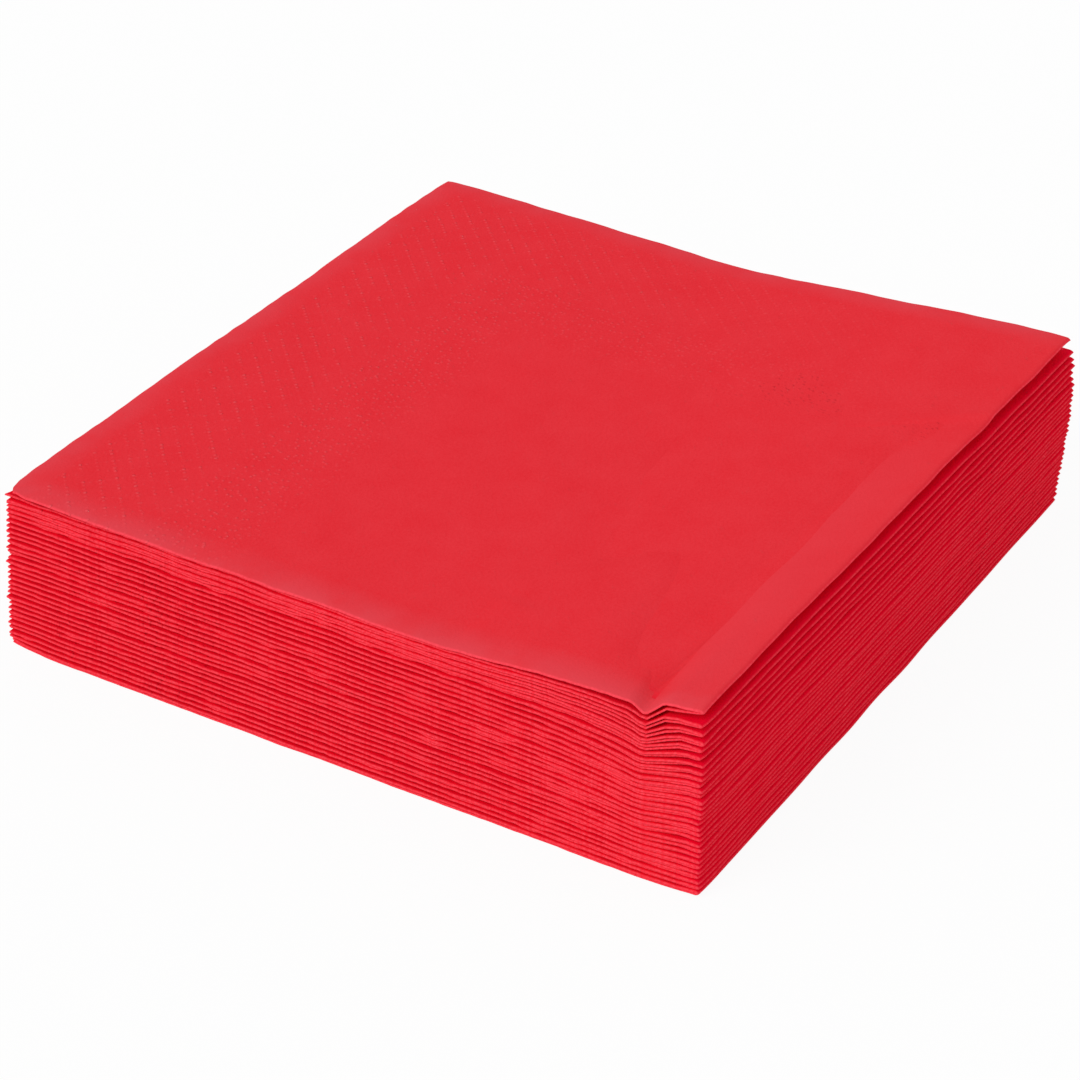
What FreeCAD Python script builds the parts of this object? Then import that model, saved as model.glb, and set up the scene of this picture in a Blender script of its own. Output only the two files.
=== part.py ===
import FreeCAD, Part
import math
import os

# A stack of paper napkins, each one square sheet folded in half and in half again.
# The first fold runs along X and lies at the front, y = -half the folded side. It leaves two
# folded edges on each napkin there. The second fold runs along Y and lies at x = +half the folded
# side. The cut edges lie at the other two sides. Napkin 1 is at the bottom and rests on z = 0.
# Millimetres, +Z up, origin at the middle of the underside.

# The sheet
FOLDED_SIDE = 165.0         # side of a folded napkin, half that of the sheet laid out flat
LAYER = 0.24                # three plies of tissue, pressed together
NAPKINS = 30

# Air inside the folds and between the napkins
FOLD_AIR = 0.03             # inside the first fold, between its two layers
NAPKIN_AIR = 0.03           # between a napkin and the next
PRESSED_AIR = 0.13          # between the two halves of a pressed napkin
CREASE_AIR = 0.04           # the same, nipped at the crease by the front corner
CREST_AIR = 0.16            # the same, in the swelling between that crease and the second fold
BORDER_AIR = 0.27           # the same, at the embossed back corner of the cut edges
SAG_AIR = 0.19              # the same, where the back edge sags

# The top napkins are loose: their second fold has sprung open
LOOSE_NAPKINS = 8
LOOSE_FOLD_AIR = 0.95       # air between the halves at the open fold
LOOSE_CREST_AIR = 0.70
LOOSE_CREASE_AIR = 0.62
LOOSE_SHOULDER_AIR = 0.56
LOOSE_BACK_AIR = 0.88       # from the crest to the shoulder, along the back edge

# Where the sheet bends, measured in from the second fold
CREST_INSET = 7.0
CREST_TO_CREASE_FRONT = 4.5
CREST_TO_CREASE_BACK = 12.0
CREASE_TO_SHOULDER = 5.5
SHOULDER_TO_FLAT_FRONT = 35.0
SHOULDER_TO_FLAT_BACK = 53.0

# How far the edges of one napkin are out of line
FIRST_FOLD_SETBACK = 0.6    # lower half of the first fold, at the cut end
CUT_EDGE_SCATTER = 0.5      # spread of the cut edges from napkin to napkin
SCATTER_STEPS = 5
SECOND_CUT_STRIDE = 3       # steps from one napkin to the next, at the cut edges that lie at -X
FIRST_CUT_STRIDE = 2        # the same, at the cut edges that lie at the back

# Facets of the half turns
FIRST_FOLD_FACETS = 4
SECOND_FOLD_FACETS = 6

HALF_SIDE = FOLDED_SIDE / 2.0
PAIR = 2.0 * LAYER + FOLD_AIR
FLAT_TOLERANCE = 1e-6


def ends(front, back):
    """A size at the front edge of the stack and the same size at its back edge."""
    return {"front": front, "back": back}


def bend_lines():
    """Each line across the napkin where it bends, from the cut edge to the second fold.

    A line holds its inset from the second fold and the air between the halves of a pressed
    and of a loose napkin.
    """
    crest = ends(CREST_INSET, CREST_INSET)
    crease = ends(CREST_INSET + CREST_TO_CREASE_FRONT, CREST_INSET + CREST_TO_CREASE_BACK)
    shoulder = ends(crease["front"] + CREASE_TO_SHOULDER, crease["back"] + CREASE_TO_SHOULDER)
    flat = ends(shoulder["front"] + SHOULDER_TO_FLAT_FRONT, shoulder["back"] + SHOULDER_TO_FLAT_BACK)
    pressed = ends(PRESSED_AIR, PRESSED_AIR)
    border = ends(PRESSED_AIR, BORDER_AIR)
    sag = ends(PRESSED_AIR, SAG_AIR)
    return {
        "cut edge": {"inset": ends(FOLDED_SIDE, FOLDED_SIDE), "pressed": border, "loose": border},
        "flat": {"inset": flat, "pressed": sag, "loose": sag},
        "shoulder": {
            "inset": shoulder,
            "pressed": pressed,
            "loose": ends(LOOSE_SHOULDER_AIR, LOOSE_BACK_AIR),
        },
        "crease": {
            "inset": crease,
            "pressed": ends(CREASE_AIR, PRESSED_AIR),
            "loose": ends(LOOSE_CREASE_AIR, LOOSE_BACK_AIR),
        },
        "crest": {
            "inset": crest,
            "pressed": ends(CREST_AIR, PRESSED_AIR),
            "loose": ends(LOOSE_CREST_AIR, LOOSE_BACK_AIR),
        },
        "second fold": {
            "inset": ends(0.0, 0.0),
            "pressed": pressed,
            "loose": ends(LOOSE_FOLD_AIR, LOOSE_FOLD_AIR),
        },
    }


LINES = bend_lines()
LINES_ON_A_HALF = ["cut edge", "flat", "shoulder", "crease", "crest"]


def between(low, high, share):
    return low + (high - low) * share


def napkin_height(napkin, line, edge):
    """Thickness of one napkin where a bend line meets the front or the back edge."""
    state = "loose" if napkin > NAPKINS - LOOSE_NAPKINS else "pressed"
    return 2.0 * PAIR + LINES[line][state][edge]


def underside(napkin, line, edge):
    """Height of a napkin's underside there: all that lies below it, with the air between."""
    below = range(1, napkin)
    return sum(napkin_height(lower, line, edge) + NAPKIN_AIR for lower in below)


def path_stops():
    """Where the doubled sheet is drawn on its way round: out along the bottom, up and back."""
    out = [("lower", line) for line in LINES_ON_A_HALF]
    steps = range(SECOND_FOLD_FACETS + 1)
    turn = [("turn", math.pi * step / SECOND_FOLD_FACETS) for step in steps]
    home = [("upper", line) for line in reversed(LINES_ON_A_HALF)]
    return out + turn + home


def cut_edge_step(napkin, stride):
    """How far a napkin's cut edges lie behind the foremost ones."""
    return CUT_EDGE_SCATTER * ((napkin * stride) % SCATTER_STEPS) / (SCATTER_STEPS - 1)


def second_fold(napkin, edge):
    """Radius of the second fold's outside and height of its middle, at the front or the back.

    The halves run straight from the crest towards the second fold and turn where they are two
    radii apart.
    """
    height = napkin_height(napkin, "second fold", edge)
    opening = (napkin_height(napkin, "crest", edge) - height) / (2.0 * CREST_INSET)
    radius = height / 2.0 / (1.0 - opening)
    share = radius / CREST_INSET
    low = between(underside(napkin, "second fold", edge), underside(napkin, "crest", edge), share)
    return radius, low + radius


SECOND_FOLDS = {
    napkin: (second_fold(napkin, "front"), second_fold(napkin, "back")) for napkin in range(1, NAPKINS + 1)
}


def sheet_point(napkin, stop, y, depth):
    """A point of the doubled sheet, as deep as depth below its outer face."""
    kind, at = stop
    share = (y + HALF_SIDE) / FOLDED_SIDE
    if kind == "turn":
        (front_radius, front_middle), (back_radius, back_middle) = SECOND_FOLDS[napkin]
        radius = between(front_radius, back_radius, share)
        middle = between(front_middle, back_middle, share)
        x = HALF_SIDE - radius + (radius - depth) * math.sin(at)
        return FreeCAD.Vector(x, y, middle - (radius - depth) * math.cos(at))
    inset = LINES[at]["inset"]
    x = HALF_SIDE - between(inset["front"], inset["back"], share)
    if at == "cut edge":
        x += cut_edge_step(napkin, SECOND_CUT_STRIDE)
    low = between(underside(napkin, at, "front"), underside(napkin, at, "back"), share)
    if kind == "lower":
        return FreeCAD.Vector(x, y, low + depth)
    height = between(napkin_height(napkin, at, "front"), napkin_height(napkin, at, "back"), share)
    return FreeCAD.Vector(x, y, low + height - depth)


def section(napkin, stop):
    """Corners of the doubled sheet, cut across at one stop, with the first fold at the front."""
    kind, at = stop
    back = HALF_SIDE - cut_edge_step(napkin, FIRST_CUT_STRIDE)
    setback = 0.0
    if kind == "lower":
        setback = FIRST_FOLD_SETBACK * LINES[at]["inset"]["front"] / FOLDED_SIDE
    radius = PAIR / 2.0
    centre = -HALF_SIDE + setback + radius
    corners = [(back, 0.0)]
    for step in range(FIRST_FOLD_FACETS + 1):
        angle = math.pi * step / FIRST_FOLD_FACETS
        corners.append((centre - radius * math.sin(angle), radius - radius * math.cos(angle)))
    corners.append((back, PAIR))
    corners.append((back, LAYER + FOLD_AIR))
    corners.append((centre, LAYER + FOLD_AIR))
    corners.append((centre, LAYER))
    corners.append((back, LAYER))
    return [sheet_point(napkin, stop, y, depth) for y, depth in corners]


def flat_face(corners):
    return Part.Face(Part.makePolygon(corners + corners[:1]))


def panel(cut_a, cut_b, fold_b, fold_a):
    """The strip between two bend lines: one flat face, or two that meet on a diagonal.

    The diagonal goes from the back of the line nearer the cut edge to the front of the line
    nearer the second fold, on every napkin alike, so that the napkins lie on each other.
    """
    normal = (cut_b - cut_a).cross(fold_a - cut_a).normalize()
    if abs(normal.dot(fold_b - cut_a)) < FLAT_TOLERANCE:
        return [flat_face([cut_a, cut_b, fold_b, fold_a])]
    if cut_a.y > cut_b.y:
        return [flat_face([cut_a, cut_b, fold_b]), flat_face([cut_a, fold_b, fold_a])]
    return [flat_face([cut_b, fold_b, fold_a]), flat_face([cut_b, fold_a, cut_a])]


def napkin_solid(napkin):
    """One napkin, a single sheet with no joins: its section is carried round the second fold."""
    stops = path_stops()
    rings = [section(napkin, stop) for stop in stops]
    faces = [flat_face(rings[0]), flat_face(rings[-1])]
    corners = len(rings[0])
    for near, (ring, following) in enumerate(zip(rings, rings[1:])):
        homeward = stops[near + 1][0] == "upper"
        cut_ring, fold_ring = (following, ring) if homeward else (ring, following)
        for a in range(corners):
            b = (a + 1) % corners
            faces += panel(cut_ring[a], cut_ring[b], fold_ring[b], fold_ring[a])
    shell = Part.makeShell(faces)
    shell.sewShape()
    solid = Part.makeSolid(shell)
    if solid.Volume < 0.0:
        solid.reverse()
    return solid


os.makedirs("parts", exist_ok=True)
for napkin in range(1, NAPKINS + 1):
    name = "napkin_%02d" % napkin
    solid = napkin_solid(napkin)
    print(name, "valid", solid.isValid(), "faces", len(solid.Faces), "volume", round(solid.Volume, 1))
    solid.exportStep("parts/%s.step" % name)
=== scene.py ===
import math

import bpy
import numpy as np
from mathutils import Matrix, Vector


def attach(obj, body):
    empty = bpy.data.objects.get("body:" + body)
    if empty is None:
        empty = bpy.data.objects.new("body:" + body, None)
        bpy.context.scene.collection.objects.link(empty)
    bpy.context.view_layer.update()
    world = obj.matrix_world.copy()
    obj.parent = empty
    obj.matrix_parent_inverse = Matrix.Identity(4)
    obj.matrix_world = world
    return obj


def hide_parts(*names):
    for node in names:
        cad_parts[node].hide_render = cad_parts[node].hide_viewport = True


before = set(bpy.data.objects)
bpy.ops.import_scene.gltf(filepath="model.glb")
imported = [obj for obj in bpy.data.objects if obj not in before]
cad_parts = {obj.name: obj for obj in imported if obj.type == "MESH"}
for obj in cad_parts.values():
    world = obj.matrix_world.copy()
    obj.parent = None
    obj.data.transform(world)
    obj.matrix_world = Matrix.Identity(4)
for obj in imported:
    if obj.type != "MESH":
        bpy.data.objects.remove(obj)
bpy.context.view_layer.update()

# Napkins 1 to 29, the body of the stack.
# Each is one square of three-ply paper tissue, embossed along its border, cut, folded in half and
# folded in half again by machine. The pressed stack holds them, and the upper ones spring open.

# The sheet and its place. Lengths are millimetres here, until a mesh is written.
MM = 0.001
OPEN_SIDE = 330.0
HALF = OPEN_SIDE / 2.0
EDGE = HALF / 2.0
NAPKINS = 30
TOP = NAPKINS
LAYER = 0.22
FOLD_AIR = 0.02
PAIR = 2.0 * LAYER + FOLD_AIR
NAPKIN_AIR = 0.02
PRESSED_STACK = 35.5

# The two folds. The first is a plain half turn; the second is creased sharper, so it is pointed.
FIRST_TURN = (PAIR - LAYER) / 2.0
FIRST_TURN_SHEET = math.pi * FIRST_TURN / 2.0
SECOND_TURN_SHEET = 1.0
SECOND_TIP = 0.9
SECOND_TIP_OUTER = SECOND_TIP - LAYER / 2.0
SECOND_TIP_INNER = 0.25
SECOND_HALF_HEIGHT = PAIR + 0.04
SECOND_FOLD_POINTED = 0.55


def ripple(seed, shortest, longest, waves=6):
    """A soft random wave along a line, between -1 and 1 or so."""
    draw = np.random.RandomState(seed)
    lengths = np.exp(draw.uniform(math.log(shortest), math.log(longest), waves))
    phases = draw.uniform(0.0, 2.0 * math.pi, waves)

    def wave(t):
        total = sum(np.sin(2.0 * math.pi * t / l + p) for l, p in zip(lengths, phases))
        return total / math.sqrt(waves / 2.0) / 1.6

    return wave


def off_the_table(level):
    """0 at the table, where the stack lies flat, and 1 from an eighth of its height on."""
    return np.clip(level * 8.0, 0.0, 1.0)


CRUMPLE_SEED = 11
CRUMPLE_HEIGHT = 0.055


def crumple(x, y, level):
    """Slight unevenness that all the napkins share, so that they stay on each other."""
    draw = np.random.RandomState(CRUMPLE_SEED)
    total = 0.0
    for wave in range(9):
        length = draw.uniform(16.0, 60.0)
        heading = draw.uniform(0.0, 2.0 * math.pi)
        through = draw.uniform(-1.6, 1.6)
        phase = draw.uniform(0.0, 2.0 * math.pi)
        along = (x * math.cos(heading) + y * math.sin(heading)) / length
        total = total + np.sin(2.0 * math.pi * (along + through * level) + phase)
    return CRUMPLE_HEIGHT * total / 2.1 * off_the_table(level)


# Along the front edge the stack swells, dips into a crease and rises to the puffed corner, more so
# on the upper napkins. Each row is a height over the pressed stack at the levels given.
LEVELS = (0.0, 0.11, 0.33, 0.6, 0.73, 0.8, 0.9, 0.933, 0.967, 1.0)
FRONT_LEFT = (0.0, -0.02, -0.07, -0.12, -0.15, -0.16, -0.18, -0.19, -0.2, 0.4)
FRONT_MIDDLE = (0.0, 0.0, 0.0, 0.0, 0.0, 0.02, 0.05, 0.08, 0.12, 0.1)
FRONT_SWELL = (0.0, 0.0, 0.0, 0.0, 0.2, 0.45, 1.0, 1.3, 1.6, 2.0)
FRONT_SHOULDER = (0.0, -0.15, -0.5, -0.7, -0.5, 0.1, 1.4, 2.0, 2.7, 3.5)
FRONT_CREASE = (0.0, -0.4, -1.2, -1.8, -2.0, -1.7, -0.9, -0.3, 0.5, 1.4)
FRONT_CREST = (0.2, 0.3, 0.55, 0.7, 1.0, 1.8, 3.2, 3.9, 4.5, 5.3)
FRONT_CORNER = (0.7, 0.4, 0.5, 0.7, 1.2, 2.0, 3.6, 4.4, 5.3, 6.6)
BACK_FLARE = (0.0, 0.0, 0.0, 0.0, 0.05, 0.15, 0.4, 0.55, 0.7, 1.0)
PROFILE_STEP = 0.25
PROFILE_X = np.arange(-100.0, 100.01, PROFILE_STEP)


def softened(heights, spread):
    """The profile with its corners rounded over a distance of spread."""
    reach = int(3.0 * spread / PROFILE_STEP) + 1
    steps = np.arange(-reach, reach + 1) * PROFILE_STEP
    weights = np.exp(-0.5 * (steps / spread) ** 2)
    padded = np.pad(heights, reach, mode="edge")
    return np.convolve(padded, weights / weights.sum(), mode="valid")


def front_profile(level):
    """Height along the front edge at one level of the stack, 0 at the table and 1 at the top."""
    at = {
        "left": np.interp(level, LEVELS, FRONT_LEFT),
        "middle": np.interp(level, LEVELS, FRONT_MIDDLE),
        "swell": np.interp(level, LEVELS, FRONT_SWELL),
        "shoulder": np.interp(level, LEVELS, FRONT_SHOULDER),
        "crease": np.interp(level, LEVELS, FRONT_CREASE),
        "crest": np.interp(level, LEVELS, FRONT_CREST),
        "corner": np.interp(level, LEVELS, FRONT_CORNER),
    }
    crease_x = np.interp(level, (0.3, 0.73, 1.0), (70.7, 69.8, 71.0))
    crest_x = np.interp(level, (0.0, 0.77, 0.9, 0.967, 1.0), (81.0, 80.0, 77.4, 75.4, 74.7))
    stops = (-EDGE, -40.0, 29.0, 45.0, 61.0, crease_x, crest_x, EDGE)
    rises = (
        at["left"], at["middle"], at["middle"], at["swell"],
        at["shoulder"], at["crease"], at["crest"], at["corner"],
    )
    line = PRESSED_STACK * level + np.interp(PROFILE_X, stops, rises)
    wide = softened(line, 3.5)
    sharp = softened(line, np.interp(level, (0.0, 0.7, 1.0), (1.6, 0.6, 0.3)))
    near_crease = np.clip((PROFILE_X - 60.0) / 6.0, 0.0, 1.0)
    return wide + (sharp - wide) * near_crease


def back_profile(level):
    """Height along the back edge: thick with embossing at the left, puffed at the right."""
    pressed = np.interp(PROFILE_X, (-EDGE, -40.0, 4.0, 40.0, EDGE), (39.5, 38.7, 37.2, 36.2, 35.5))
    flare = np.interp(PROFILE_X, (4.0, 16.0, 41.0, 66.0, EDGE), (0.0, 1.3, 4.1, 5.8, 6.7))
    line = pressed * level + flare * np.interp(level, LEVELS, BACK_FLARE)
    return softened(line, 2.5)


def crease_line(y):
    """Where the crease by the front corner runs, further back, till it meets the second fold."""
    places = (-EDGE, -60.0, -37.0, -8.0, 5.0, 15.0, 34.0, 45.0)
    return np.interp(y, places, (71.0, 67.9, 65.6, 62.4, 63.6, 66.5, 73.0, 77.5))


# The top of the stack, read off from the left to the right at nine lines from the front edge to the
# back edge: the crease and the puffed strip beyond it run back along lines of their own.
TOP_LINES_Y = (-82.5, -60.0, -40.0, -20.0, 0.0, 20.0, 40.0, 60.0, 82.5)
PUFF_LINE = (75.0, 75.2, 74.8, 74.4, 74.4, 75.5, 79.0, 80.3, 80.3)
TOP_HEIGHTS = (
    (35.9, 35.8, 35.6, 35.5, 37.3, 38.8, 38.9, 37.0, 41.0, 42.0),
    (36.7, 36.6, 36.3, 36.9, 38.4, 39.3, 38.0, 37.2, 41.0, 42.3),
    (37.4, 37.1, 36.9, 37.3, 38.5, 39.3, 37.9, 37.4, 40.9, 42.4),
    (38.2, 37.7, 37.3, 37.5, 38.3, 38.9, 37.9, 37.6, 40.8, 42.4),
    (38.3, 38.0, 37.6, 37.6, 38.1, 38.6, 38.2, 38.1, 41.0, 42.4),
    (38.5, 38.3, 37.8, 38.0, 38.7, 39.6, 40.0, 40.2, 41.3, 42.3),
    (39.2, 38.5, 37.8, 38.5, 39.5, 41.0, 41.4, 41.5, 41.9, 42.2),
    (39.7, 38.8, 37.6, 38.8, 39.9, 41.3, 41.5, 41.6, 41.75, 41.9),
    (39.8, 39.0, 37.4, 39.2, 40.2, 41.15, 41.35, 41.45, 41.5, 41.6),
)
TOP_STEP = 0.5
TOP_BLEND = 6.0

# Small wrinkles on the open face: where each one starts and ends, how far it steps up on its left
# and how wide the step is.
TOP_WRINKLES = (
    ((82.0, 42.0), (50.0, 18.0), -0.4, 1.3),
    ((22.0, -60.0), (62.0, -23.0), -0.16, 1.6),
    ((44.0, -2.0), (64.0, 13.0), 0.14, 2.0),
    ((29.5, -60.0), (28.5, -82.0), 0.26, 1.1),
    ((38.0, -65.0), (26.0, -63.0), 0.2, 1.1),
    ((-18.0, -82.0), (-12.0, -52.0), 0.10, 1.5),
)


def wrinkle(x, y, start, end, rise, width):
    """A step that fades out at both ends of a line, up on its left as one looks along it."""
    run = (end[0] - start[0], end[1] - start[1])
    length = math.hypot(*run)
    along = ((x - start[0]) * run[0] + (y - start[1]) * run[1]) / length
    across = ((y - start[1]) * run[0] - (x - start[0]) * run[1]) / length
    fade = np.clip(along / 8.0 + 0.5, 0.0, 1.0) * np.clip((length - along) / 8.0 + 0.5, 0.0, 1.0)
    return rise * fade * np.tanh(across / width) * np.exp(-np.abs(across) / (7.0 * width))


def top_surface():
    """The top of the stack as a fine grid of heights."""
    grid_y = np.arange(-EDGE - 10.0, EDGE + 10.0, TOP_STEP)
    grid_x = PROFILE_X
    heights = np.array(TOP_HEIGHTS)
    reach = int(4.0 * TOP_BLEND / TOP_STEP)
    steps = np.arange(-reach, reach + 1) * TOP_STEP
    weights = np.exp(-0.5 * (steps / TOP_BLEND) ** 2)
    weights /= weights.sum()
    columns = []
    for column in range(heights.shape[1]):
        straight = np.interp(grid_y, TOP_LINES_Y, heights[:, column])
        columns.append(np.convolve(np.pad(straight, reach, mode="edge"), weights, mode="valid"))
    surface = np.empty((len(grid_y), len(grid_x)))
    for number, y in enumerate(grid_y):
        crease = float(crease_line(y))
        puff = float(np.interp(y, TOP_LINES_Y, PUFF_LINE))
        shoulder = crease - float(np.interp(y, (-EDGE, -62.0), (9.0, 13.0)))
        stops = (-EDGE, -40.0, 0.0, 25.0, 45.0, shoulder, crease - 3.2, crease, puff, EDGE)
        line = np.interp(grid_x, stops, [column[number] for column in columns])
        wide = softened(line, 4.0)
        sharpness = np.interp(y, (-82.0, -66.0, -30.0, 10.0), (0.3, 0.6, 1.1, 1.8))
        sharp = softened(line, float(sharpness))
        near = np.clip((grid_x - crease + 9.0) / 6.0, 0.0, 1.0)
        surface[number] = wide + (sharp - wide) * near
    x, y = np.meshgrid(grid_x, grid_y)
    for start, end, rise, width in TOP_WRINKLES:
        surface += wrinkle(x, y, start, end, rise, width)
    return grid_x, grid_y, surface


TOP_X, TOP_Y, TOP_SURFACE = top_surface()


def top_height(x, y):
    """Height of the top of the stack, read from the grid between its points."""
    column = np.clip((x - TOP_X[0]) / PROFILE_STEP, 0.0, len(TOP_X) - 1.001)
    row = np.clip((y - TOP_Y[0]) / TOP_STEP, 0.0, len(TOP_Y) - 1.001)
    c, r = column.astype(int), row.astype(int)
    part_c, part_r = column - c, row - r
    near = TOP_SURFACE[r, c] * (1.0 - part_c) + TOP_SURFACE[r, c + 1] * part_c
    far = TOP_SURFACE[r + 1, c] * (1.0 - part_c) + TOP_SURFACE[r + 1, c + 1] * part_c
    return near + (far - near) * part_r


def blended_height(x, y, level):
    """Height of the stack over the table at one level, from the profiles of its edges."""
    back = np.clip((y + EDGE) / HALF, 0.0, 1.0)
    towards_back = 1.0 - (1.0 - back) ** 1.6
    crease = crease_line(y)
    left_part = 45.0 + (x - 45.0) * (71.0 - 45.0) / (crease - 45.0)
    right_part = 71.0 + (x - crease) * (EDGE - 71.0) / (EDGE - crease)
    shifted = np.where(x < 45.0, x, np.where(x < crease, left_part, right_part))
    front = np.interp(shifted, PROFILE_X, front_profile(level))
    rear = np.interp(x, PROFILE_X, back_profile(level))
    return front + (rear - front) * towards_back


def stack_height(x, y, level):
    """Height of the stack at one level. The upper napkins follow the top more and more."""
    height = blended_height(x, y, level)
    share = float(np.interp(level, (0.7, 0.8, 0.9, 0.934, 0.967, 1.0), (0.0, 0.12, 0.35, 0.5, 0.7, 1.0)))
    if share > 0.0:
        height = height + (top_height(x, y) - blended_height(x, y, 1.0)) * share
    return height + crumple(x, y, level)


def lean(x, level):
    """How far a napkin lies out towards the front: the lower ones do, most at the left."""
    return -(1.0 - level) * (4.85 - 3.35 * (x + EDGE) / HALF)


def back_corner(x, level):
    """How far the cut edges stand out at the right-hand back corner."""
    out = np.interp(
        level,
        (0.0, 0.1, 0.3, 0.5, 0.6, 0.72, 0.9, 0.97, 1.0),
        (1.4, 2.7, 4.2, 4.6, 5.0, 5.1, 3.8, 2.3, 0.2),
    )
    share = np.clip((x - 15.0) / (EDGE - 15.0), 0.0, 1.0)
    return out * share * share * (3.0 - 2.0 * share)


def fold_out(y, level):
    """How far the second folds stand out to the right, at the front corner and at the back one."""
    front = np.interp(level, (0.0, 0.1, 1.0), (1.75, 1.65, 0.9))
    back = np.interp(level, (0.0, 0.3, 0.6, 0.8, 0.95, 1.0), (0.6, 0.6, 0.8, 0.7, 0.4, 0.1))
    return front + (back - front) * np.clip((y + EDGE) / HALF, 0.0, 1.0)


def bottom_corner(x, napkin):
    """How far the lowest napkins draw back at the left end of the front edge."""
    return max(0.0, 2.3 - 0.8 * napkin) * np.exp(-(x + EDGE) / 5.0)


def rounded_rim(from_edge, drop, width):
    """How much higher the top leaf lies than its edge, where it rounds down to that edge."""
    return drop * (1.0 - np.exp(-from_edge / width)) * np.exp(-from_edge / 28.0)


def open_corner(x, from_front):
    """How far the top napkin has come open at its left-hand front corner."""
    return np.exp(-((x + EDGE) / 4.0) ** 2) * np.exp(-np.clip(from_front, 0.0, None) / 2.2)


def even_lines(start, end, step):
    """Places from the start up to the end, but without it, a step or a little less apart."""
    count = max(1, int(math.ceil((end - start) / step)))
    return [start + (end - start) * n / count for n in range(count)]


def lines_across(step, sheet_in_turn, turn_rows, near_fold):
    """Lines over half the flat sheet, with near_fold's distances from the fold, and in the fold."""
    turn_start = HALF - sheet_in_turn
    half = [0.0, 1.2, 4.0]
    half += even_lines(7.0, turn_start - near_fold[0], step)
    half += [turn_start - distance for distance in near_fold]
    turn = [turn_start + 2.0 * sheet_in_turn * n / turn_rows for n in range(turn_rows + 1)]
    return half, turn


def flat_sheet(name, u_lines, v_lines):
    """A sheet laid out flat, with its lines where the folds need them and a map in real size."""
    bpy.ops.object.select_all(action="DESELECT")
    columns, rows = len(u_lines) - 1, len(v_lines) - 1
    bpy.ops.mesh.primitive_grid_add(
        x_subdivisions=columns, y_subdivisions=rows, size=OPEN_SIDE * MM, calc_uvs=True
    )
    sheet = bpy.context.object
    sheet.name = name
    mesh = sheet.data
    places = np.empty(len(mesh.vertices) * 3)
    mesh.vertices.foreach_get("co", places)
    places = places.reshape(-1, 3)
    column = np.rint((places[:, 0] / (OPEN_SIDE * MM) + 0.5) * columns).astype(int)
    row = np.rint((places[:, 1] / (OPEN_SIDE * MM) + 0.5) * rows).astype(int)
    places[:, 0] = np.array(u_lines)[column] * MM
    places[:, 1] = np.array(v_lines)[row] * MM
    mesh.vertices.foreach_set("co", places.ravel())
    mesh.update()
    return sheet


def thin_out(sheet, hidden, kept_u, kept_v):
    """Merges the small faces where a folded napkin hides them inside the stack."""
    mesh = sheet.data
    places = np.empty(len(mesh.vertices) * 3)
    mesh.vertices.foreach_get("co", places)
    flat = places.reshape(-1, 3)[:, :2] / MM
    ends = np.empty(len(mesh.edges) * 2, dtype=int)
    mesh.edges.foreach_get("vertices", ends)
    ends = ends.reshape(-1, 2)
    middle = flat[ends].mean(axis=1)
    runs_along_v = np.abs(flat[ends[:, 0], 0] - flat[ends[:, 1], 0]) < 1e-4
    on_kept_u = np.min(np.abs(middle[:, :1] - np.array(kept_u)), axis=1) < 1e-3
    on_kept_v = np.min(np.abs(middle[:, 1:] - np.array(kept_v)), axis=1) < 1e-3
    kept = np.where(runs_along_v, on_kept_u, on_kept_v)
    merged = hidden(middle[:, 0], middle[:, 1]) & ~kept
    bpy.ops.object.mode_set(mode="EDIT")
    bpy.ops.mesh.select_mode(type="EDGE")
    bpy.ops.mesh.select_all(action="DESELECT")
    bpy.ops.object.mode_set(mode="OBJECT")
    mesh.edges.foreach_set("select", merged)
    bpy.ops.object.mode_set(mode="EDIT")
    bpy.ops.mesh.dissolve_edges(use_verts=True, use_face_split=False)
    bpy.ops.object.mode_set(mode="OBJECT")


def map_by_real_size(sheet):
    """The sheet's own map: its flat coordinates as shares of the open side."""
    mesh = sheet.data
    places = np.empty(len(mesh.vertices) * 3)
    mesh.vertices.foreach_get("co", places)
    flat = places.reshape(-1, 3)[:, :2] / (OPEN_SIDE * MM)
    corners = np.empty(len(mesh.loops), dtype=int)
    mesh.loops.foreach_get("vertex_index", corners)
    mesh.uv_layers.active.name = "flat_sheet"
    mesh.uv_layers.active.data.foreach_set("uv", flat[corners].ravel())


# The sheet keeps its lines where it shows: in strips along the cut edges and along both folds.
CUT_STRIP = 4.0
FIRST_FOLD_STRIP = 4.0
SECOND_FOLD_STRIP = 11.0
STEP_ALONG_FIRST_FOLD = 1.35
STEP_ALONG_SECOND_FOLD = 1.7
STEP_INSIDE = 18.0
FIRST_TURN_ROWS = 6
SECOND_TURN_ROWS = 10
near_second_fold = (SECOND_FOLD_STRIP, 7.0, 4.0, 2.0, 0.8)
near_first_fold = (FIRST_FOLD_STRIP, 1.4, 0.4)
u_half, u_turn = lines_across(
    STEP_ALONG_FIRST_FOLD, SECOND_TURN_SHEET, SECOND_TURN_ROWS, near_second_fold
)
u_lines = u_half + u_turn + [OPEN_SIDE - u for u in reversed(u_half)]
v_half, v_turn = lines_across(
    STEP_ALONG_SECOND_FOLD, FIRST_TURN_SHEET, FIRST_TURN_ROWS, near_first_fold
)
v_inner_half = [0.0, 1.2, CUT_STRIP] + even_lines(14.0, v_half[-3], STEP_INSIDE) + v_half[-3:]
v_lines = v_half + v_turn + [OPEN_SIDE - v for v in reversed(v_inner_half)]


def away_from_fold(flat, in_turn):
    """How far a place on the flat sheet is from the half turn at the sheet's middle."""
    return np.abs(flat - HALF) - in_turn


def deep(flat, in_turn, fold_strip):
    """Whether a place on the flat sheet lies past the strips by its cut edge and by its fold."""
    past_cut_strip = HALF - np.abs(flat - HALF) > CUT_STRIP + 0.01
    return past_cut_strip & (away_from_fold(flat, in_turn) > fold_strip + 0.01)


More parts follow.
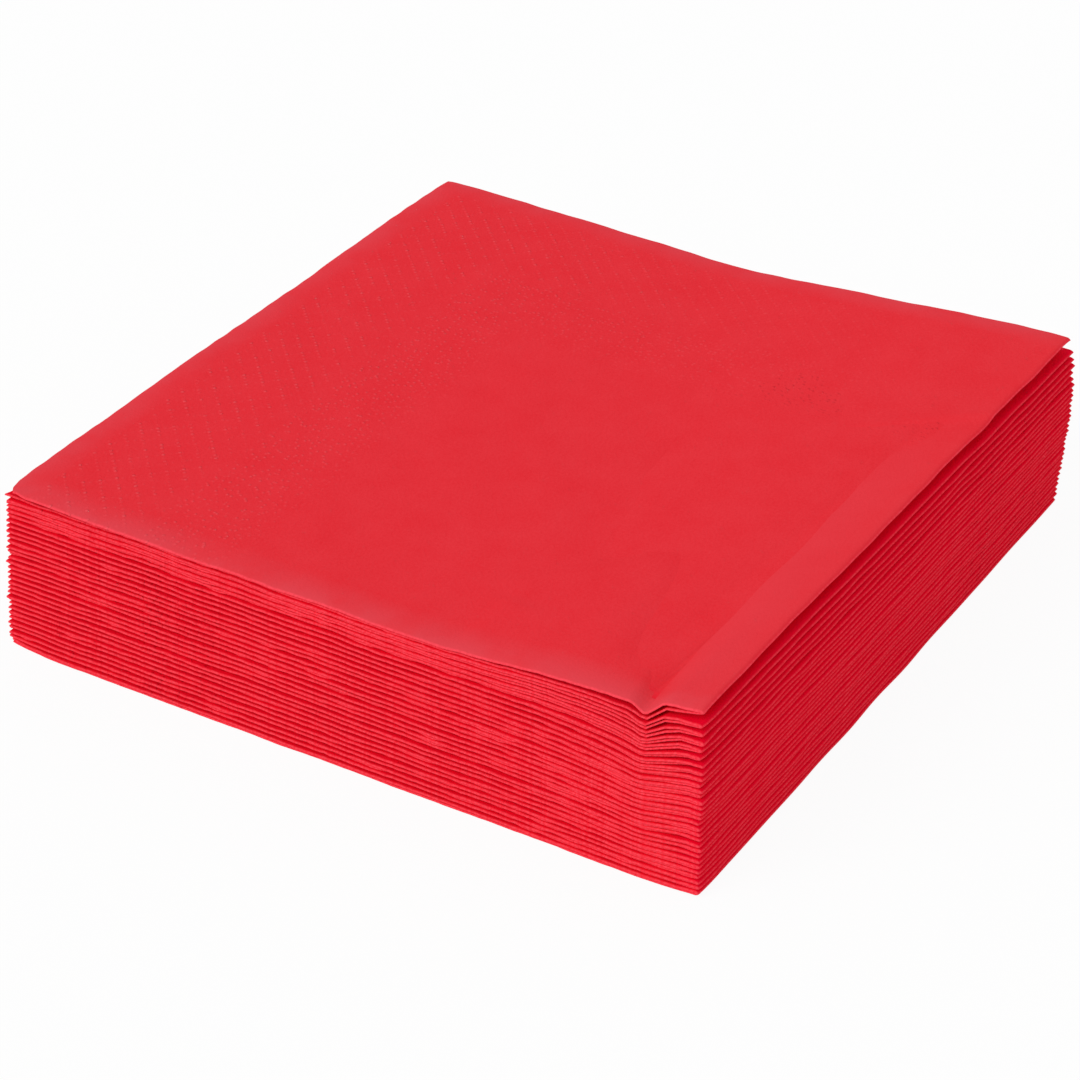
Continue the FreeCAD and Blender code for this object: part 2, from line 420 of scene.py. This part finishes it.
def hidden_in_stack(u, v):
    """Whether a place on the flat sheet ends up inside the stack, where no one sees it."""
    deep_u = deep(u, SECOND_TURN_SHEET, SECOND_FOLD_STRIP)
    deep_v = deep(v, FIRST_TURN_SHEET, FIRST_FOLD_STRIP)
    return deep_u & deep_v


# Every how many lines one goes on through the hidden part
KEPT_U = 14
KEPT_V = 12


def coarse(lines, step):
    """The lines that go on through the hidden part: one in so many, and both ends."""
    return [lines[0]] + list(lines[::step]) + [lines[-1]]


folded_blank = flat_sheet("flat_napkin", u_lines, v_lines)
thin_out(folded_blank, hidden_in_stack, coarse(u_lines, KEPT_U), coarse(v_lines, KEPT_V))
map_by_real_size(folded_blank)

# How much the napkins differ from each other: their edges out of line and waved, in millimetres
SEED = 400
CUT_SETBACK = 0.35
CUT_SPREAD = 0.3
CUT_WAVE = 0.1
LEAF_SHIFT = 0.17
OUT_OF_REGISTER = 1.2


def fold_napkin(sheet, napkin):
    """Folds the flat sheet twice and lays it in the stack, as napkin 1 at the bottom to 30."""
    mesh = sheet.data
    places = np.empty(len(mesh.vertices) * 3)
    mesh.vertices.foreach_get("co", places)
    u = places.reshape(-1, 3)[:, 0] / MM
    v = places.reshape(-1, 3)[:, 1] / MM
    draw = np.random.RandomState(SEED + napkin)
    low_level = (napkin - 1) / NAPKINS
    high_level = napkin / NAPKINS
    level = (low_level + high_level) / 2.0

    # Round the first fold: 0 on the outer layer, a half turn on the inner one.
    first = np.clip((v - HALF + FIRST_TURN_SHEET) / (2.0 * FIRST_TURN_SHEET), 0.0, 1.0) * math.pi
    inner = (1.0 - np.cos(first)) / 2.0
    depth = PAIR / 2.0 - FIRST_TURN * np.cos(first)
    from_first = np.clip(away_from_fold(v, FIRST_TURN_SHEET), 0.0, None) / (HALF - FIRST_TURN_SHEET)
    # Round the second fold: 0 on the lower half, a half turn on the upper one.
    second = np.clip((u - HALF + SECOND_TURN_SHEET) / (2.0 * SECOND_TURN_SHEET), 0.0, 1.0) * math.pi
    upper = (1.0 - np.cos(second)) / 2.0
    from_second = np.clip(away_from_fold(u, SECOND_TURN_SHEET), 0.0, None) / (HALF - SECOND_TURN_SHEET)

    def four(spread):
        """One random length for each of the four layers, blended round the folds."""
        a, b, c, d = draw.uniform(-spread, spread, 4)
        return (a + (b - a) * inner) * (1.0 - upper) + (c + (d - c) * inner) * upper

    def along(amount, shortest, longest, line):
        lower_wave = ripple(draw.randint(1 << 30), shortest, longest)
        upper_wave = ripple(draw.randint(1 << 30), shortest, longest)
        return amount * (lower_wave(line) * (1.0 - upper) + upper_wave(line) * upper)

    nominal_y = -EDGE + HALF * from_first
    tip_wave = ripple(draw.randint(1 << 30), 12.0, 70.0)
    tip = EDGE - 0.1 + draw.uniform(-0.18, 0.18) + 0.12 * tip_wave(nominal_y)
    tip = tip + fold_out(nominal_y, level)
    tip = tip - draw.uniform(0.0, 0.55) * np.exp(-(nominal_y + EDGE) / draw.uniform(1.5, 4.0))
    turn_x = tip - SECOND_TIP
    cut_x = -EDGE + CUT_SETBACK + four(CUT_SPREAD) + along(CUT_WAVE, 6.0, 50.0, nominal_y)
    tip_reach = SECOND_TIP_OUTER + (SECOND_TIP_INNER - SECOND_TIP_OUTER) * inner
    pointed = 1.0 - np.abs(np.cos(second))
    turned = np.sin(second) + (pointed - np.sin(second)) * SECOND_FOLD_POINTED
    x = turn_x + (cut_x - turn_x) * from_second + tip_reach * turned

    ragged = ripple(draw.randint(1 << 30), 5.0, 45.0)
    setback = (draw.uniform(0.6, 0.95) + 0.25 * ragged(x)) * np.interp(x, (10.0, 74.0), (1.0, 0.45))
    setback = setback * np.interp(level, (0.82, 0.92), (1.0, 0.45))
    if napkin == 1:
        setback = 0.1
    leaf_shift = draw.uniform(-LEAF_SHIFT, LEAF_SHIFT)
    front_y = -EDGE + lean(x, level) + setback * (1.0 - upper) + leaf_shift
    front_y = front_y + bottom_corner(x, napkin)
    front_y = front_y + along(0.10, 14.0, 80.0, x) + along(0.055, 2.8, 8.0, x)
    back_y = EDGE - CUT_SETBACK + lean(x, level) + back_corner(x, level) + four(CUT_SPREAD)
    back_y = back_y + along(CUT_WAVE, 6.0, 50.0, x)
    turn_y = front_y + FIRST_TURN + LAYER / 2.0
    y = turn_y + (back_y - turn_y) * from_first - FIRST_TURN * np.sin(first)

    flat_x = np.minimum(x, turn_x)
    low = stack_height(flat_x, y, low_level) + NAPKIN_AIR / 2.0
    high = stack_height(flat_x, y, high_level) - NAPKIN_AIR / 2.0
    slack = high - low - 2.0 * PAIR
    looseness = np.clip(slack, 0.0, 1.0)
    behind = np.clip(turn_x - x, 0.0, None)
    opening = 1.0 - np.exp(-behind / (2.5 + 5.5 * looseness))
    outside = slack * (0.3 + 0.15 * looseness) / 2.0
    if napkin == TOP:
        # Nothing presses on it: its rims round down, and one corner has come open.
        outside = 0.0
        from_front = y - front_y
        high = high + rounded_rim(from_front, 0.5, 1.6)
        high = high + rounded_rim(x - cut_x, 0.5, 3.0) + rounded_rim(back_y - y, 0.5, 3.0)
        corner = open_corner(x, from_front)
        high = high + 0.5 * corner * upper
        low = low + 0.6 * corner * (1.0 - upper)
        x = x + corner * (2.2 * upper - 0.6 * (1.0 - upper))
        y = y + corner * (0.6 * upper - 0.2 * (1.0 - upper))
        overhang = 0.65 * upper * np.clip((0.0 - x) / 40.0, 0.0, 1.0)
        y = y - overhang * np.exp(-np.clip(from_front, 0.0, None) / 2.0)
    full = (high - low) / 2.0 - outside
    closed = np.minimum(full, SECOND_HALF_HEIGHT)
    half_height = closed + (full - closed) * opening
    middle = high - half_height if napkin == TOP else (high + low) / 2.0
    near_front = np.exp(-np.clip(y - front_y, 0.0, None) / 5.0)
    z = middle - (half_height - depth) * np.cos(second)
    z = z + along(0.045, 4.0, 26.0, x) * near_front * off_the_table(level)

    folded = np.column_stack((x, y, z)) * MM
    mesh.vertices.foreach_set("co", folded.ravel())
    mesh.update()

    # For the material: how far the cut is out of register with the embossing, in millimetres, and
    # whether the sheet lies in the open here, on top of the stack.
    marks = np.empty((len(mesh.vertices), 3))
    marks[:, :2] = draw.uniform(-OUT_OF_REGISTER, OUT_OF_REGISTER, 2)
    marks[:, 2] = upper * (1.0 - inner) if napkin == TOP else 0.0
    sheet_marks = mesh.attributes.new("sheet_marks", "FLOAT_VECTOR", "POINT")
    sheet_marks.data.foreach_set("vector", marks.ravel())
    # And where the open face has lifted off the layer below, beyond the crease: the share of painted sheen
    # there.
    past_crease = x - crease_line(y)
    lifted = marks[:, 2] * np.interp(past_crease, (-1.5, 3.5, 7.0, 16.0), (0.0, 1.0, 1.0, 0.5))
    lifted = lifted * np.clip((38.0 - y) / 40.0, 0.0, 1.0)
    lifted_face = mesh.attributes.new("lifted", "FLOAT", "POINT")
    lifted_face.data.foreach_set("value", lifted)


SMOOTH_BELOW = math.radians(50.0)


def give_thickness(piece):
    """Three plies of tissue, pressed together: half the thickness on each side of the sheet."""
    bpy.ops.object.select_all(action="DESELECT")
    piece.select_set(True)
    bpy.context.view_layer.objects.active = piece
    plies = piece.modifiers.new("plies", "SOLIDIFY")
    plies.thickness = LAYER * MM
    plies.offset = 0.0
    bpy.ops.object.modifier_apply(modifier=plies.name)
    bpy.ops.object.shade_smooth_by_angle(angle=SMOOTH_BELOW)


def linear(code):
    """An sRGB colour as written, #RRGGBB, in the linear values that a shader takes."""
    parts = [int(code[n:n + 2], 16) / 255.0 for n in (1, 3, 5)]
    return [c / 12.92 if c <= 0.04045 else ((c + 0.055) / 1.055) ** 2.4 for c in parts] + [1.0]


def add_node(tree, kind, links=None, **settings):
    """One shader node with its settings, and its inputs linked or set by name or number."""
    node = tree.nodes.new(kind)
    for name, value in settings.items():
        setattr(node, name, value)
    for socket, source in (links or {}).items():
        if isinstance(source, bpy.types.NodeSocket):
            tree.links.new(source, node.inputs[socket])
        else:
            node.inputs[socket].default_value = source
    return node


# Three-ply tissue, dyed in the pulp, with no gloss. Light and shade are also painted into its colour:
# painted shade as a deeper, more saturated red where sheets lie close together between the folds; a
# painted sheen, paler and a little greyer, along the rims and where the open face has lifted; painted
# highlights along the crests of the folds; and painted highlights on the embossed dots as pale specks.
# The crepe is drawn coarser than it is, or it would not be seen.
TISSUE_FLAT = "#E62A34"
TISSUE_CLOUD = "#E93740"
# Painted sheen along the rims and on the lifted face
TISSUE_RIM_SHEEN = "#E2444E"
# Painted shade between the folds, a deeper red
TISSUE_SHADE_BETWEEN_FIRST_FOLDS = "#EC0A26"
TISSUE_SHADE_BETWEEN_SECOND_FOLDS = "#F0042C"
# Painted highlight along the fold crests
TISSUE_CREASE_HIGHLIGHT = "#FF4C5A"
# Painted highlight on the embossed dots
TISSUE_SPECK_HIGHLIGHT = "#F86068"
DOT_PITCH = 1.35
ROW_PITCH = 3.5
STIPPLE_PITCH = 1.6
DOT_HEIGHT = 0.16
CREPE_HEIGHT = 0.11
# Where the rows of dots and the scattered ones fade in and out, inside the cut edges
ROW_BAND = (6.0, 8.0, 31.0, 34.0)
STIPPLE_BAND = (33.0, 36.0, 50.0, 60.0)


def paper_tissue():
    """The napkins' own material, drawn on the map of the flat sheet in millimetres."""
    material = bpy.data.materials.new("paper_tissue_red")
    material.use_nodes = True
    tree = material.node_tree
    tree.nodes.clear()

    def math_node(operation, a, b=0.0, clamp=False):
        return add_node(
            tree, "ShaderNodeMath", {0: a, 1: b}, operation=operation, use_clamp=clamp
        ).outputs[0]

    def fading(value, start, end):
        """1 up to the start, 0 from the end on."""
        return math_node("DIVIDE", math_node("SUBTRACT", end, value), end - start, True)

    def rising(value, start, end):
        """0 up to the start, 1 from the end on."""
        return math_node("SUBTRACT", 1.0, fading(value, start, end))

    def within(value, band):
        return math_node("MULTIPLY", fading(value, band[2], band[3]), rising(value, band[0], band[1]))

    def tint(share, first, second):
        return add_node(tree, "ShaderNodeMix", {0: share, 6: first, 7: second}, data_type="RGBA").outputs[2]

    def noise(place, scale, detail, roughness):
        return add_node(
            tree, "ShaderNodeTexNoise",
            {"Vector": place, "Scale": scale, "Detail": detail, "Roughness": roughness},
            noise_dimensions="2D",
        ).outputs[0]

    def from_fold(flat):
        return math_node("ABSOLUTE", math_node("SUBTRACT", flat, HALF))

    sheet = add_node(tree, "ShaderNodeUVMap", uv_map="flat_sheet").outputs[0]
    in_mm = add_node(tree, "ShaderNodeVectorMath", {0: sheet, 3: OPEN_SIDE}, operation="SCALE").outputs[0]
    marks = add_node(tree, "ShaderNodeAttribute", attribute_name="sheet_marks").outputs["Vector"]
    embossed = add_node(tree, "ShaderNodeVectorMath", {0: in_mm, 1: marks}, operation="ADD").outputs[0]
    in_the_open = add_node(tree, "ShaderNodeSeparateXYZ", {0: marks}).outputs[2]
    parts = add_node(tree, "ShaderNodeSeparateXYZ", {0: in_mm})
    second_fold = from_fold(parts.outputs[0])
    first_fold = from_fold(parts.outputs[1])
    nearest_fold = math_node("MINIMUM", first_fold, second_fold)
    parts = add_node(tree, "ShaderNodeSeparateXYZ", {0: embossed})
    u, v = parts.outputs[0], parts.outputs[1]
    inset = math_node("SUBTRACT", HALF, math_node("MAXIMUM", from_fold(u), from_fold(v)))

    # Rows of dots on the diagonals of the border: plain one way, faint the other
    diagonal_a = math_node("MULTIPLY", math_node("ADD", u, v), math.sqrt(0.5))
    diagonal_b = math_node("MULTIPLY", math_node("SUBTRACT", u, v), math.sqrt(0.5))

    def off_centre(value, pitch):
        share = math_node("FRACT", math_node("DIVIDE", value, pitch))
        return math_node("MULTIPLY", math_node("ABSOLUTE", math_node("SUBTRACT", share, 0.5)), pitch)

    def dots(across, along, width, length):
        a = math_node("POWER", math_node("DIVIDE", off_centre(across, ROW_PITCH), width), 2.0)
        b = math_node("POWER", math_node("DIVIDE", off_centre(along, DOT_PITCH), length), 2.0)
        return fading(math_node("ADD", a, b), 0.3, 1.0)

    crossing = fading(off_centre(diagonal_b, ROW_PITCH), 0.7, 1.3)
    crossing = math_node("ADD", math_node("MULTIPLY", crossing, 0.65), 0.35)
    plain_rows = math_node("MULTIPLY", dots(diagonal_a, diagonal_b, 0.45, 0.45), crossing)
    faint_rows = math_node("MULTIPLY", dots(diagonal_b, diagonal_a, 0.4, 0.4), 0.28)
    rows = math_node("MAXIMUM", plain_rows, faint_rows)
    lattice = math_node("MULTIPLY", rows, within(inset, ROW_BAND))

    # Scattered dots further in
    scatter = add_node(
        tree, "ShaderNodeTexVoronoi",
        {"Vector": embossed, "Scale": 1.0 / STIPPLE_PITCH, "Randomness": 0.8},
        voronoi_dimensions="2D",
    ).outputs["Distance"]
    stipple = math_node("MULTIPLY", fading(scatter, 0.1, 0.27), within(inset, STIPPLE_BAND))
    embossing = math_node("MAXIMUM", lattice, stipple)

    # Uneven, and on the open face rolled flat again towards the second fold
    patches = noise(embossed, 0.4, 2.0, 0.6)
    embossing = math_node("MULTIPLY", embossing, rising(patches, 0.38, 0.58))
    rolled_flat = math_node("MULTIPLY", fading(second_fold, 15.0, 150.0), 0.9)
    rolled_flat = math_node("MULTIPLY", rolled_flat, in_the_open)
    embossing = math_node("MULTIPLY", embossing, math_node("SUBTRACT", 1.0, rolled_flat))

    # Crepe and fibres
    crepe = noise(in_mm, 1.6, 4.0, 0.7)
    cloud = noise(in_mm, 0.09, 5.0, 0.7)
    raised = math_node("MULTIPLY", embossing, DOT_HEIGHT)
    height = math_node("ADD", math_node("MULTIPLY", crepe, CREPE_HEIGHT), raised)
    bump = add_node(
        tree, "ShaderNodeBump", {"Height": height, "Strength": 1.0, "Distance": MM}
    ).outputs[0]

    # Clouded red at random, and a painted sheen: paler and greyer along the rims and where the open face
    # has lifted
    tone = math_node("ADD", math_node("MULTIPLY", cloud, 0.4), math_node("MULTIPLY", crepe, 0.6))
    colour = tint(rising(tone, 0.3, 0.7), linear(TISSUE_FLAT), linear(TISSUE_CLOUD))
    # Painted sheen along the cut edges and the first fold, in patches, and on the lifted face
    rim_sheen = fading(math_node("MINIMUM", inset, first_fold), 1.0, 8.0)
    sheen_patches = rising(noise(in_mm, 0.07, 3.0, 0.6), 0.35, 0.6)
    rim_sheen = math_node("MULTIPLY", rim_sheen, math_node("ADD", math_node("MULTIPLY", sheen_patches, 0.5), 0.4))
    lifted = add_node(tree, "ShaderNodeAttribute", attribute_name="lifted").outputs["Fac"]
    rim_sheen = math_node("MAXIMUM", rim_sheen, math_node("MULTIPLY", lifted, 0.36))
    colour = tint(rim_sheen, colour, linear(TISSUE_RIM_SHEEN))

    # Painted shade: a deeper red between the folds of the stack. Painted highlight: paler along each crease
    shade_between_folds = tint(
        fading(second_fold, 3.0, 6.0),
        linear(TISSUE_SHADE_BETWEEN_FIRST_FOLDS), linear(TISSUE_SHADE_BETWEEN_SECOND_FOLDS),
    )
    buried = math_node("SUBTRACT", 1.0, in_the_open)
    colour = tint(math_node("MULTIPLY", buried, fading(nearest_fold, 2.0, 8.0)), colour, shade_between_folds)
    # Painted highlight along the crests of both folds, broken up by the crepe
    highlight_breakup = math_node("ADD", math_node("MULTIPLY", fading(crepe, 0.4, 0.6), -0.55), 1.0)
    first_crease = math_node("MULTIPLY", fading(first_fold, 0.15, 0.44), 0.9)
    second_crease = math_node("MULTIPLY", fading(second_fold, 0.1, 0.35), 0.75)
    crease_highlight = math_node("MAXIMUM", first_crease, second_crease)
    colour = tint(math_node("MULTIPLY", crease_highlight, highlight_breakup), colour, linear(TISSUE_CREASE_HIGHLIGHT))
    # Painted highlights on the embossed dots of the open face, as pale specks
    speck_highlights = math_node("MULTIPLY", math_node("MULTIPLY", embossing, 0.42), in_the_open)
    colour = tint(speck_highlights, colour, linear(TISSUE_SPECK_HIGHLIGHT))
    shader = add_node(
        tree, "ShaderNodeBsdfPrincipled",
        {"Base Color": colour, "Normal": bump, "Roughness": 0.95, "IOR": 1.45, "Specular IOR Level": 0.04},
    )
    add_node(tree, "ShaderNodeOutputMaterial", {0: shader.outputs[0]})
    return material


tissue = paper_tissue()


def finish_napkin(piece, napkin):
    """Gives a folded napkin its thickness and material, and puts it in its CAD node's place."""
    node = "napkin_%02d" % napkin
    give_thickness(piece)
    piece.data.materials.clear()
    piece.data.materials.append(tissue)
    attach(piece, "root")
    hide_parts(node)


for napkin in range(1, TOP):
    piece = folded_blank.copy()
    piece.data = folded_blank.data.copy()
    piece.name = "folded_napkin_%02d" % napkin
    bpy.context.scene.collection.objects.link(piece)
    fold_napkin(piece, napkin)
    finish_napkin(piece, napkin)
bpy.data.objects.remove(folded_blank)

# Napkin 30, the top one.
# The same folded tissue, but it lies in full view, so its upper quarter keeps all its lines.
# It has sprung up along the second fold and a crease runs in from the front corner.
CREASED_STRIP = 27.0
STEP_IN_CREASED_STRIP = 0.8
STEP_ACROSS_FACE = 1.2
STEP_DOWN_FACE = 1.1
top_u_shown = even_lines(0.0, HALF - CREASED_STRIP, STEP_ACROSS_FACE)
top_u_shown += even_lines(HALF - CREASED_STRIP, u_half[-2], STEP_IN_CREASED_STRIP) + u_half[-2:]
top_u_lines = u_half + u_turn + [OPEN_SIDE - u for u in reversed(top_u_shown)]
top_v_half = even_lines(0.0, v_half[-3], STEP_DOWN_FACE) + v_half[-3:]
top_v_lines = top_v_half + v_turn + [OPEN_SIDE - v for v in reversed(v_inner_half)]


def hidden_under_top(u, v):
    """The same for the top napkin, whose upper outer quarter is the open face."""
    open_face = (u > HALF) & (v < HALF)
    return hidden_in_stack(u, v) & ~open_face


top_napkin = flat_sheet("folded_napkin_%02d" % TOP, top_u_lines, top_v_lines)
thin_out(top_napkin, hidden_under_top, coarse(top_u_lines, KEPT_U), coarse(top_v_lines, KEPT_V))
map_by_real_size(top_napkin)
fold_napkin(top_napkin, TOP)
finish_napkin(top_napkin, TOP)

# The table and the light.
# A plain pale table top under soft studio light: an even white surround and one broad lamp at the
# front left, so that the front-left folds are brightest and the right-hand folds lie in shade.
SURROUND_LIGHT = 0.70
LAMP_ENERGY = 1.26
LAMP_ANGLE = math.radians(35.0)
WHITE_SHARE = 0.94


def seen_or_mirrored(tree):
    """1 for what the camera sees, straight or in or through something, 0 for the light it gives."""
    path = add_node(tree, "ShaderNodeLightPath").outputs
    total = add_node(
        tree, "ShaderNodeMath", {0: path["Is Camera Ray"], 1: path["Is Glossy Ray"]}, operation="ADD"
    ).outputs[0]
    return add_node(
        tree, "ShaderNodeMath", {0: total, 1: path["Is Transmission Ray"]}, operation="ADD", use_clamp=True
    ).outputs[0]


bpy.ops.object.select_all(action="DESELECT")
bpy.ops.mesh.primitive_plane_add(size=6.0, location=(0.0, 0.0, 0.0))
floor = bpy.context.object
floor.name = "floor"
pale = bpy.data.materials.new("pale_table_top")
pale.use_nodes = True
tree = pale.node_tree
tree.nodes.clear()
matt = add_node(tree, "ShaderNodeBsdfDiffuse", {"Color": linear("#EDEDED")})
white = add_node(tree, "ShaderNodeEmission", {"Color": linear("#FFFFFF"), "Strength": 1.0})
seen = seen_or_mirrored(tree)
share = add_node(tree, "ShaderNodeMath", {0: seen, 1: WHITE_SHARE}, operation="MULTIPLY").outputs[0]
mixed = add_node(tree, "ShaderNodeMixShader", {0: share, 1: matt.outputs[0], 2: white.outputs[0]})
add_node(tree, "ShaderNodeOutputMaterial", {0: mixed.outputs[0]})
floor.data.materials.append(pale)

surround = bpy.data.worlds.new("studio")
bpy.context.scene.world = surround
surround.use_nodes = True
tree = surround.node_tree
tree.nodes.clear()
seen = seen_or_mirrored(tree)
lit = add_node(tree, "ShaderNodeBackground", {"Color": linear("#FFFFFF"), "Strength": SURROUND_LIGHT})
plain = add_node(tree, "ShaderNodeBackground", {"Color": linear("#FFFFFF"), "Strength": 1.0})
mixed = add_node(tree, "ShaderNodeMixShader", {0: seen, 1: lit.outputs[0], 2: plain.outputs[0]})
add_node(tree, "ShaderNodeOutputWorld", {0: mixed.outputs[0]})

lamp_data = bpy.data.lights.new("broad_lamp", "SUN")
lamp_data.energy = LAMP_ENERGY
lamp_data.angle = LAMP_ANGLE
lamp = bpy.data.objects.new("broad_lamp", lamp_data)
bpy.context.scene.collection.objects.link(lamp)
towards_lamp = Vector((-0.42, -0.78, 0.70)).normalized()
lamp.rotation_euler = towards_lamp.to_track_quat("Z", "Y").to_euler()

# The camera, at the photograph's viewing angle: to the right of the front and about 32 degrees up.
AZIMUTH = math.radians(32.45)
ELEVATION = math.radians(32.31)
ROLL = math.radians(-0.49)
DISTANCE = 0.6484
SENSOR = 36.0
FOCAL_SHARE = 2896.0 / 1080.0
TARGET = Vector((-0.0084, 0.0071, 0.0))
backwards = Vector((
    math.sin(AZIMUTH) * math.cos(ELEVATION),
    -math.cos(AZIMUTH) * math.cos(ELEVATION),
    math.sin(ELEVATION),
))
rightwards = Vector((0.0, 0.0, 1.0)).cross(backwards).normalized()
upwards = backwards.cross(rightwards)
rolled_right = rightwards * math.cos(ROLL) + upwards * math.sin(ROLL)
rolled_up = upwards * math.cos(ROLL) - rightwards * math.sin(ROLL)
camera_data = bpy.data.cameras.new("camera")
camera_data.sensor_width = SENSOR
camera_data.lens = FOCAL_SHARE * SENSOR
camera_data.clip_start = 0.01
camera = bpy.data.objects.new("camera", camera_data)
bpy.context.scene.collection.objects.link(camera)
facing = Matrix((rolled_right, rolled_up, backwards)).transposed()
camera.matrix_world = Matrix.Translation(TARGET + backwards * DISTANCE) @ facing.to_4x4()
bpy.context.scene.camera = camera
bpy.context.scene.view_settings.view_transform = "Standard"
